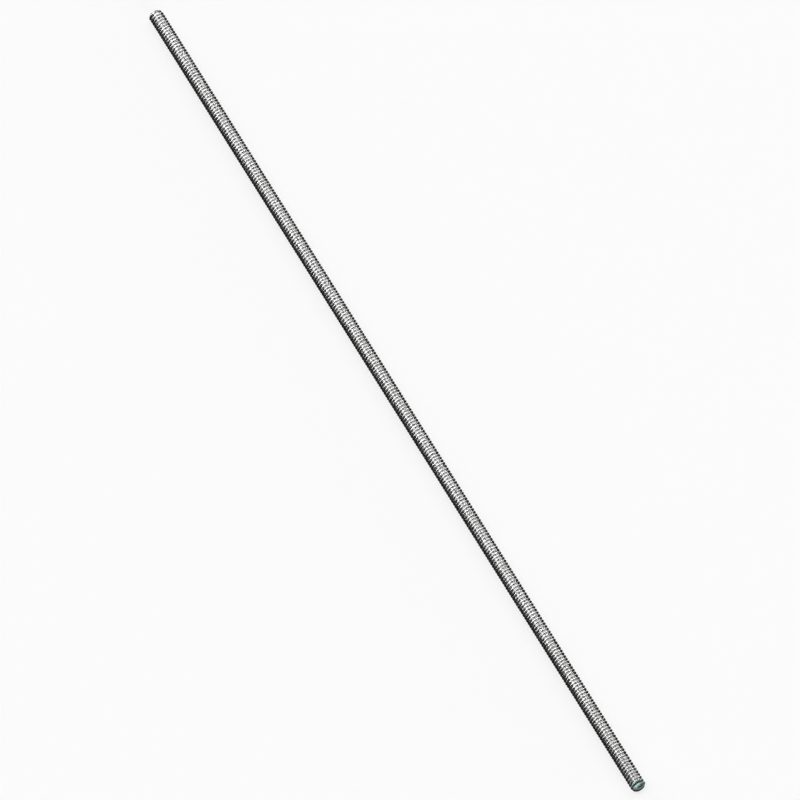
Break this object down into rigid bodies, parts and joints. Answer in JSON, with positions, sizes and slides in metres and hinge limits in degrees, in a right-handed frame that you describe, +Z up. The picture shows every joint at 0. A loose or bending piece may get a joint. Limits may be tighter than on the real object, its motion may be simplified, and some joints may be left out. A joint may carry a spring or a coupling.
{
  "type": "threaded rod",
  "caption": "Straight steel rod with a coarse machine-screw thread along its whole length, chamfered at both ends, with one end marked in green dye.",
  "frame": {"origin": "on the rod's axis, halfway between its two end faces", "axes": "+X along the rod towards its marked end, +Z up as the rod lies on a level surface"},
  "size_m": [0.3048, 0.0046, 0.0046],
  "materials": {
    "bright_steel": "bright rolled steel with a green dye mark on the +X end"
  },
  "bodies": {
    "root": {"threaded_rod": "bright_steel"}
  },
  "joints": []
}
